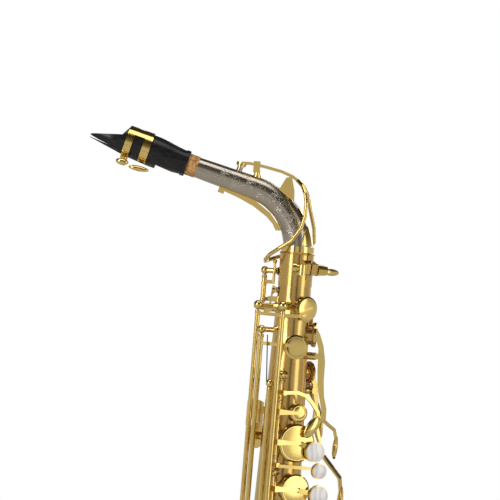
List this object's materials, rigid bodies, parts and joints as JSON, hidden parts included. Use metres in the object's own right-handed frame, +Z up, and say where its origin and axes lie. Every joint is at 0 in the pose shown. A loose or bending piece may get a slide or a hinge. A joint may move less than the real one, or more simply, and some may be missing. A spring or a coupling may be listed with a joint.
{
  "type": "saxophone",
  "caption": "Curved-neck alto saxophone: conical body tube with bow and upturned bell, swivelling neck, sliding mouthpiece with reed and ligature, and sprung padded keywork.",
  "frame": {"origin": "centre of the hole in the strap ring on the back of the body tube", "axes": "+Z up along the body tube towards the neck; +Y along the strap ring's hole, towards the player's left; +X away from the mouthpiece"},
  "size_m": [0.3285, 0.1318, 0.6312],
  "materials": {
    "body_lacquer": "satin brushed lacquered brass, slightly coppery",
    "key_lacquer": "polished clear lacquer over brass",
    "neck_silver": "satin nickel silver, engraved",
    "steel": "turned steel hinge rods",
    "blued_steel": "blued needle springs",
    "cork": "natural speckled cork sheet",
    "ebonite": "polished black",
    "reed": "dark synthetic reed",
    "felt": "felt bumper",
    "pad_leather": "tan leather key pads",
    "mother_of_pearl": "polished mother-of-pearl"
  },
  "bodies": {
    "root": {"hinge_rods": "steel", "body_posts": "key_lacquer", "thumb_rest": "key_lacquer", "body_tube": "body_lacquer", "body_bow_ring": "key_lacquer", "bell_bow_ring": "key_lacquer", "bow": "body_lacquer", "bow_guard": "key_lacquer", "bell": "body_lacquer", "bell_rim": "body_lacquer", "neck_receiver": "body_lacquer", "lyre_holder": "key_lacquer", "strap_ring": "key_lacquer", "thumb_hook": "key_lacquer", "key_guards": "key_lacquer", "guard_felts": "felt", "bell_brace": "key_lacquer", "needle_springs": "blued_steel"},
    "neck": {"neck_tube": "neck_silver", "neck_tenon": "key_lacquer", "neck_cork": "cork", "neck_brace": "key_lacquer", "neck_saddle": "key_lacquer", "neck_post": "key_lacquer"},
    "mouthpiece": {"mouthpiece": "ebonite", "reed": "reed", "ligature": "key_lacquer"},
    "octave_link": {"octave_link": "key_lacquer"},
    "body_octave_key": {"body_octave_key": "key_lacquer"},
    "thumb_octave_lever": {"thumb_octave_lever": "key_lacquer"},
    "palm_eb_key": {"palm_eb_key": "key_lacquer"},
    "palm_d_key": {"palm_d_key": "key_lacquer"},
    "palm_f_key": {"palm_f_key": "key_lacquer"},
    "high_f_sharp_key": {"high_f_sharp_key": "key_lacquer"},
    "high_e_key": {"high_e_key": "key_lacquer"},
    "side_c_key": {"side_c_key": "key_lacquer"},
    "side_bb_key": {"side_bb_key": "key_lacquer"},
    "c_vent_key": {"c_vent_key": "key_lacquer"},
    "b_key": {"b_key": "key_lacquer"},
    "bis_key": {"bis_key": "key_lacquer"},
    "a_key": {"a_key": "key_lacquer"},
    "g_key": {"g_key": "key_lacquer"},
    "front_f_lever": {"front_f_lever": "key_lacquer"},
    "f_sharp_vent_key": {"f_sharp_vent_key": "key_lacquer"},
    "f_key": {"f_key": "key_lacquer"},
    "e_key": {"e_key": "key_lacquer"},
    "d_key": {"d_key": "key_lacquer"},
    "g_sharp_key": {"g_sharp_key": "key_lacquer"},
    "low_c_sharp_key": {"low_c_sharp_key": "key_lacquer"},
    "low_b_key": {"low_b_key": "key_lacquer"},
    "low_bb_key": {"low_bb_key": "key_lacquer"},
    "low_eb_key": {"low_eb_key": "key_lacquer"},
    "low_c_key": {"low_c_key": "key_lacquer"},
    "neck_screw": {"neck_screw": "key_lacquer"},
    "lyre_screw": {"lyre_screw": "key_lacquer"},
    "neck_octave_key": {"neck_octave_key": "key_lacquer"},
    "ligature_screw_front": {"ligature_screw_front": "key_lacquer"},
    "ligature_screw_back": {"ligature_screw_back": "key_lacquer"}
  },
  "joints": [
    {"name": "neck_swivel", "type": "hinge", "parent": "root", "child": "neck", "pos_m": [0.0281, -0.0077, 0.215], "axis": [0, 0, 1], "range_deg": [-20, 20]},
    {"name": "octave_link_hinge", "type": "hinge", "parent": "root", "child": "octave_link", "pos_m": [0.0035, -0.0007, 0.191], "axis": [0, 0, 1], "range_deg": [-6, 0]},
    {"name": "body_octave_key_hinge", "type": "hinge", "parent": "root", "child": "body_octave_key", "pos_m": [0.0095, -0.0077, 0.1775], "axis": [0, -1, 0], "range_deg": [0, 5], "stiffness_Nm_per_rad": 0.05, "springref_deg": -20.05},
    {"name": "thumb_octave_hinge", "type": "hinge", "parent": "root", "child": "thumb_octave_lever", "pos_m": [0.0183, 0.0165, 0.115], "axis": [0, 0, 1], "range_deg": [-5, 0]},
    {"name": "palm_eb_key_hinge", "type": "hinge", "parent": "root", "child": "palm_eb_key", "pos_m": [0.0543, -0.0077, 0.1345], "axis": [0, 1, 0], "range_deg": [0, 4.5], "stiffness_Nm_per_rad": 0.05, "springref_deg": -20.05},
    {"name": "palm_d_key_hinge", "type": "hinge", "parent": "root", "child": "palm_d_key", "pos_m": [0.05108, 0.00722, 0.1065], "axis": [-0.5446, 0.8387, 0], "range_deg": [0, 4.5], "stiffness_Nm_per_rad": 0.05, "springref_deg": -20.05},
    {"name": "palm_f_key_hinge", "type": "hinge", "parent": "root", "child": "palm_f_key", "pos_m": [0.04012, 0.0149, 0.1455], "axis": [-0.8829, 0.4695, 0], "range_deg": [0, 4.5], "stiffness_Nm_per_rad": 0.05, "springref_deg": -20.05},
    {"name": "high_f_sharp_key_hinge", "type": "hinge", "parent": "root", "child": "high_f_sharp_key", "pos_m": [0.0003, -0.0137, 0.172], "axis": [0, 0, 1], "range_deg": [-5.5, 0], "stiffness_Nm_per_rad": 0.05, "springref_deg": 20.05},
    {"name": "high_e_key_hinge", "type": "hinge", "parent": "root", "child": "high_e_key", "pos_m": [0.0045, -0.0221, 0.141], "axis": [0, 0, 1], "range_deg": [-5.5, 0], "stiffness_Nm_per_rad": 0.05, "springref_deg": 20.05},
    {"name": "side_c_key_hinge", "type": "hinge", "parent": "root", "child": "side_c_key", "pos_m": [0.0197, -0.0367, -0.032], "axis": [0, 0, 1], "range_deg": [-5.5, 0], "stiffness_Nm_per_rad": 0.05, "springref_deg": 20.05},
    {"name": "side_bb_key_hinge", "type": "hinge", "parent": "root", "child": "side_bb_key", "pos_m": [0.0145, -0.0319, -0.0492], "axis": [0, 0, 1], "range_deg": [-5.5, 0], "stiffness_Nm_per_rad": 0.05, "springref_deg": 20.05},
    {"name": "c_vent_key_hinge", "type": "hinge", "parent": "root", "child": "c_vent_key", "pos_m": [0.0229, -0.0321, 0.089], "axis": [0, 0, 1], "range_deg": [0, 7]},
    {"name": "b_key_hinge", "type": "hinge", "parent": "root", "child": "b_key", "pos_m": [0.0229, -0.0321, 0.065], "axis": [0, 0, 1], "range_deg": [0, 6.5], "stiffness_Nm_per_rad": 0.05, "springref_deg": -20.05},
    {"name": "bis_key_hinge", "type": "hinge", "parent": "root", "child": "bis_key", "pos_m": [0.0229, -0.0321, 0.047], "axis": [0, 0, 1], "range_deg": [0, 5], "stiffness_Nm_per_rad": 0.05, "springref_deg": -20.05},
    {"name": "a_key_hinge", "type": "hinge", "parent": "root", "child": "a_key", "pos_m": [0.0229, -0.0321, 0.028], "axis": [0, 0, 1], "range_deg": [0, 6.5], "stiffness_Nm_per_rad": 0.05, "springref_deg": -20.05},
    {"name": "g_key_hinge", "type": "hinge", "parent": "root", "child": "g_key", "pos_m": [0.0229, -0.0321, -0.003], "axis": [0, 0, 1], "range_deg": [0, 6.5], "stiffness_Nm_per_rad": 0.05, "springref_deg": -20.05},
    {"name": "front_f_lever_hinge", "type": "hinge", "parent": "root", "child": "front_f_lever", "pos_m": [0.0229, -0.0321, 0.105], "axis": [0, 0, 1], "range_deg": [0, 3], "stiffness_Nm_per_rad": 0.05, "springref_deg": -20.05},
    {"name": "f_sharp_vent_key_hinge", "type": "hinge", "parent": "root", "child": "f_sharp_vent_key", "pos_m": [0.0211, -0.0405, -0.074], "axis": [0, 0, 1], "range_deg": [0, 6.5]},
    {"name": "f_key_hinge", "type": "hinge", "parent": "root", "child": "f_key", "pos_m": [0.0211, -0.0405, -0.102], "axis": [0, 0, 1], "range_deg": [0, 6.5], "stiffness_Nm_per_rad": 0.05, "springref_deg": -20.05},
    {"name": "e_key_hinge", "type": "hinge", "parent": "root", "child": "e_key", "pos_m": [0.0211, -0.0405, -0.135], "axis": [0, 0, 1], "range_deg": [0, 6.5], "stiffness_Nm_per_rad": 0.05, "springref_deg": -20.05},
    {"name": "d_key_hinge", "type": "hinge", "parent": "root", "child": "d_key", "pos_m": [0.0211, -0.0405, -0.168], "axis": [0, 0, 1], "range_deg": [0, 6.5], "stiffness_Nm_per_rad": 0.05, "springref_deg": -20.05},
    {"name": "g_sharp_key_hinge", "type": "hinge", "parent": "root", "child": "g_sharp_key", "pos_m": [0.0472, 0.01141, -0.053], "axis": [0, 0, 1], "range_deg": [-5, 0], "stiffness_Nm_per_rad": 0.05, "springref_deg": 20.05},
    {"name": "low_c_sharp_key_hinge", "type": "hinge", "parent": "root", "child": "low_c_sharp_key", "pos_m": [0.05756, 0.01298, -0.183], "axis": [0, 0, 1], "range_deg": [-5, 0], "stiffness_Nm_per_rad": 0.05, "springref_deg": 20.05},
    {"name": "low_b_key_hinge", "type": "hinge", "parent": "root", "child": "low_b_key", "pos_m": [0.06177, 0.03297, -0.11], "axis": [0, 0, 1], "range_deg": [-5, 0], "stiffness_Nm_per_rad": 0.05, "springref_deg": 20.05},
    {"name": "low_bb_key_hinge", "type": "hinge", "parent": "root", "child": "low_bb_key", "pos_m": [0.06453, 0.02395, -0.17], "axis": [0, 0, 1], "range_deg": [-5, 0], "stiffness_Nm_per_rad": 0.05, "springref_deg": 20.05},
    {"name": "low_eb_key_hinge", "type": "hinge", "parent": "root", "child": "low_eb_key", "pos_m": [0.0211, -0.0405, -0.21], "axis": [0, 0, 1], "range_deg": [-6, 0], "stiffness_Nm_per_rad": 0.05, "springref_deg": 20.05},
    {"name": "low_c_key_hinge", "type": "hinge", "parent": "root", "child": "low_c_key", "pos_m": [0.01344, -0.04311, -0.265], "axis": [0, 0, 1], "range_deg": [0, 5], "stiffness_Nm_per_rad": 0.05, "springref_deg": -20.05},
    {"name": "neck_screw_turn", "type": "hinge", "parent": "root", "child": "neck_screw", "pos_m": [0.03809, -0.02145, 0.203], "axis": [0.809, 0.5878, 0], "range_deg": [-180, 180]},
    {"name": "lyre_screw_turn", "type": "hinge", "parent": "root", "child": "lyre_screw", "pos_m": [0.0281, -0.0276, 0.204], "axis": [-1, 0, 0], "range_deg": [-180, 180]},
    {"name": "neck_octave_key_hinge", "type": "hinge", "parent": "neck", "child": "neck_octave_key", "pos_m": [-0.0099, -0.0077, 0.2826], "axis": [0, 1, 0], "range_deg": [0, 5], "stiffness_Nm_per_rad": 0.05, "springref_deg": -20.05},
    {"name": "mouthpiece_slide", "type": "slide", "parent": "neck", "child": "mouthpiece", "axis": [-0.9659, 0, 0.2588], "range_m": [-0.004, 0.006]},
    {"name": "ligature_screw_front_turn", "type": "hinge", "parent": "mouthpiece", "child": "ligature_screw_front", "pos_m": [-0.11728, -0.0077, 0.27691], "axis": [0, 1, 0], "range_deg": [-180, 180]},
    {"name": "ligature_screw_back_turn", "type": "hinge", "parent": "mouthpiece", "child": "ligature_screw_back", "pos_m": [-0.10377, -0.0077, 0.27246], "axis": [0, 1, 0], "range_deg": [-180, 180]}
  ],
  "couplings": [
    {"joint": "octave_link_hinge", "follows": "neck_octave_key_hinge", "ratio": -1.2},
    {"joint": "thumb_octave_hinge", "follows": "neck_octave_key_hinge", "ratio": -1},
    {"joint": "c_vent_key_hinge", "follows": "b_key_hinge", "ratio": 1},
    {"joint": "f_sharp_vent_key_hinge", "follows": "f_key_hinge", "ratio": 0.98}
  ]
}
